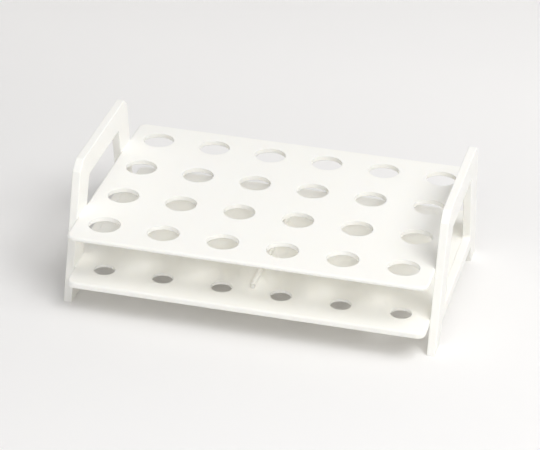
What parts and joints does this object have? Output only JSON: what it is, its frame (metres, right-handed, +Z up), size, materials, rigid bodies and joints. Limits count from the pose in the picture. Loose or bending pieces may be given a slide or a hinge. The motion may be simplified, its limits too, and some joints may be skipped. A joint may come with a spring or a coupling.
{
  "type": "microcentrifuge tube rack",
  "caption": "White one-piece rack for microcentrifuge tubes: two perforated shelves between end frames with handle windows and feet.",
  "frame": {"origin": "middle of the rack, on the surface that its feet stand on", "axes": "+Z up, +X along the rack from the left end frame to the right one, +Y to the back"},
  "size_m": [0.1342, 0.0946, 0.0498],
  "materials": {
    "white_plastic": "satin moulded polypropylene, opaque white"
  },
  "bodies": {
    "root": {"tube_rack": "white_plastic"}
  },
  "joints": []
}
